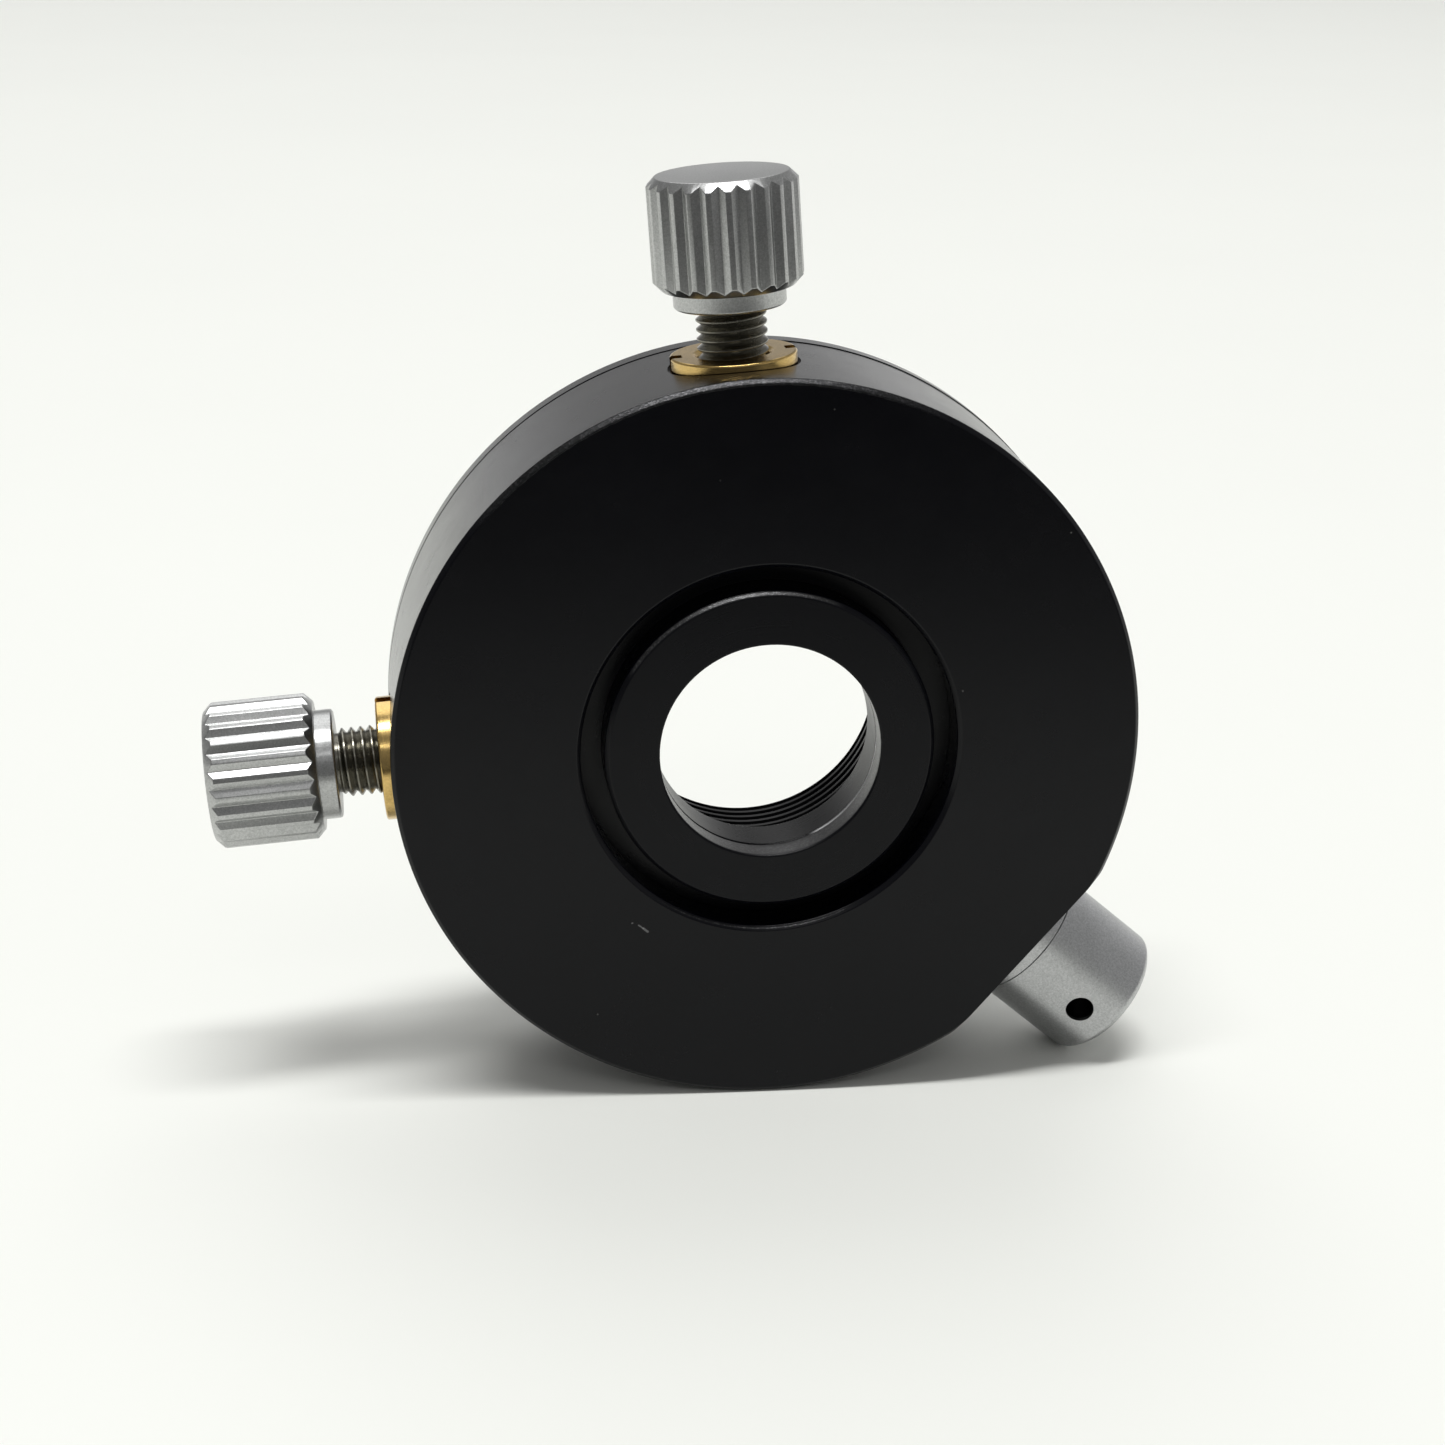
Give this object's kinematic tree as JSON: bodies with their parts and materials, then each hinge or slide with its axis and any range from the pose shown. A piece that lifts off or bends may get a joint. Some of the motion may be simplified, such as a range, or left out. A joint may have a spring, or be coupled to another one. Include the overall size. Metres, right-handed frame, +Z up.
{
  "type": "lens centring mount",
  "caption": "Round mount for a small lens, whose cell is centred by fluted thumbscrews pushing it against a spring plunger.",
  "frame": {"origin": "where the optical axis meets the plane of the two adjuster axes, inside the lens bore, with the cell at the middle of its travel", "axes": "+Y along the optical axis, from the front face to the rear cover; +Z up along one adjuster, towards its knob; -X along the other adjuster, towards its knob; the post hole is at -Z"},
  "size_m": [0.065, 0.0145, 0.065],
  "materials": {
    "black_anodised": "matt black anodised, lightly bead-blasted",
    "cell_anodised": "matt black anodised, turned",
    "knob_silver": "satin silver with cut bright flutes",
    "barrel_silver": "fine matt silver anodised",
    "bushing_brass": "turned, polished",
    "screw_steel": "rolled thread, dark stainless",
    "ball_steel": "polished hardened steel",
    "spring_steel": "drawn wire",
    "black_oxide": "black oxide"
  },
  "bodies": {
    "frame": {"housing": "black_anodised", "rear_cover": "black_anodised", "cover_screw_1": "black_oxide", "cover_screw_2": "black_oxide", "cover_screw_3": "black_oxide", "cover_screw_4": "black_oxide", "x_bushing": "bushing_brass", "z_bushing": "bushing_brass", "plunger_lock_ring": "barrel_silver", "plunger_barrel": "barrel_silver"},
    "x_tip": {"x_ball": "ball_steel"},
    "x_adjuster": {"x_screw": "screw_steel", "x_knob": "knob_silver"},
    "cell": {"lens_cell": "cell_anodised", "x_pad": "ball_steel", "z_pad": "ball_steel"},
    "z_tip": {"z_ball": "ball_steel"},
    "z_adjuster": {"z_screw": "screw_steel", "z_knob": "knob_silver"},
    "spring": {"plunger_spring": "spring_steel"},
    "pin": {"plunger_pin": "ball_steel"}
  },
  "joints": [
    {"name": "x_travel", "type": "slide", "parent": "frame", "child": "x_tip", "axis": [1, 0, 0], "range_m": [-0.001, 0.001]},
    {"name": "x_turn", "type": "hinge", "parent": "x_tip", "child": "x_adjuster", "pos_m": [-0.0339, 0, 0], "axis": [1, 0, 0], "range_deg": [-567, 567]},
    {"name": "cell_lift", "type": "slide", "parent": "x_tip", "child": "cell", "axis": [0, 0, 1], "range_m": [-0.001, 0.001]},
    {"name": "z_travel", "type": "slide", "parent": "frame", "child": "z_tip", "axis": [0, 0, 1], "range_m": [-0.001, 0.001]},
    {"name": "z_turn", "type": "hinge", "parent": "z_tip", "child": "z_adjuster", "pos_m": [0, 0, 0.0339], "axis": [0, 0, 1], "range_deg": [-567, 567]},
    {"name": "plunger_x_part", "type": "slide", "parent": "frame", "child": "spring", "axis": [0.7071, 0, -0.7071], "range_m": [-0.00075, 0.00075], "deforming": ["plunger_spring"]},
    {"name": "plunger_z_part", "type": "slide", "parent": "spring", "child": "pin", "axis": [0.7071, 0, -0.7071], "range_m": [-0.00075, 0.00075]}
  ],
  "couplings": [
    {"joint": "x_turn", "follows": "x_travel", "rad_per_m": 9894.8},
    {"joint": "plunger_x_part", "follows": "x_travel", "ratio": 0.70711},
    {"joint": "z_turn", "follows": "z_travel", "rad_per_m": 9894.8},
    {"joint": "cell_lift", "follows": "z_travel", "ratio": 1},
    {"joint": "plunger_z_part", "follows": "z_travel", "ratio": -0.70711}
  ]
}
